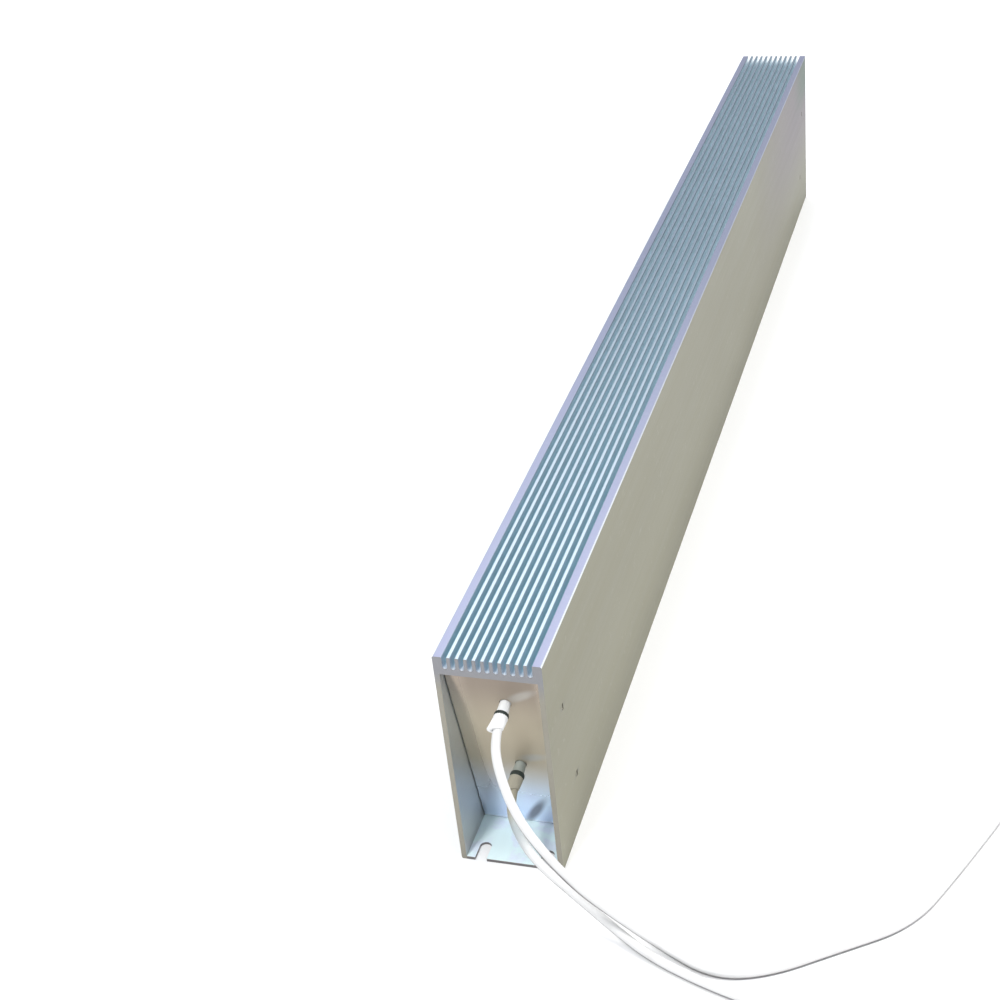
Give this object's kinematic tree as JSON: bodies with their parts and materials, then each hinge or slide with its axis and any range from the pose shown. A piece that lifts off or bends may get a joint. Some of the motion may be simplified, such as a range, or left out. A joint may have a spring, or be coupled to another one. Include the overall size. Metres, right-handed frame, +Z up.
{
  "type": "braking resistor",
  "caption": "Long finned aluminium housing with slotted ends, leaning end covers and insulated flying leads; wound ceramic tubes inside dissipate braking energy.",
  "frame": {"origin": "middle of the housing's bottom face", "axes": "+Y along the housing, away from the end with the leads; +X to the right seen from the lead end; +Z up, through the fins"},
  "size_m": [0.402, 0.8784, 0.12],
  "materials": {
    "profile_aluminium": "satin",
    "cover_aluminium": "satin",
    "white_ceramic": "satin",
    "black_rubber": "matte",
    "glass_fibre_sleeve": "matte",
    "white_insulation": "satin",
    "tinned_copper": "satin",
    "terminal_steel": "satin",
    "tube_ceramic": "matte",
    "resistance_alloy": "satin",
    "mica": "satin",
    "quartz_cement": "matte"
  },
  "bodies": {
    "root": {"housing": "profile_aluminium", "near_end_cover": "cover_aluminium", "far_end_cover": "cover_aluminium", "upper_lead_bushing": "white_ceramic", "upper_lead_ring": "black_rubber", "upper_lead_sleeve": "glass_fibre_sleeve", "upper_lead": "white_insulation", "upper_lead_bare_end": "tinned_copper", "upper_lead_core": "tinned_copper", "upper_lead_crimp": "terminal_steel", "upper_near_band": "terminal_steel", "upper_far_band": "terminal_steel", "upper_ceramic_tube": "tube_ceramic", "upper_winding": "resistance_alloy", "lower_lead_bushing": "white_ceramic", "lower_lead_ring": "black_rubber", "lower_lead_sleeve": "glass_fibre_sleeve", "lower_lead": "white_insulation", "lower_lead_bare_end": "tinned_copper", "lower_lead_core": "tinned_copper", "lower_lead_crimp": "terminal_steel", "lower_near_band": "terminal_steel", "lower_far_band": "terminal_steel", "lower_ceramic_tube": "tube_ceramic", "lower_winding": "resistance_alloy", "series_link": "terminal_steel", "near_tube_support": "tube_ceramic", "far_tube_support": "tube_ceramic", "mica_liner": "mica", "quartz_filling": "quartz_cement"}
  },
  "joints": []
}
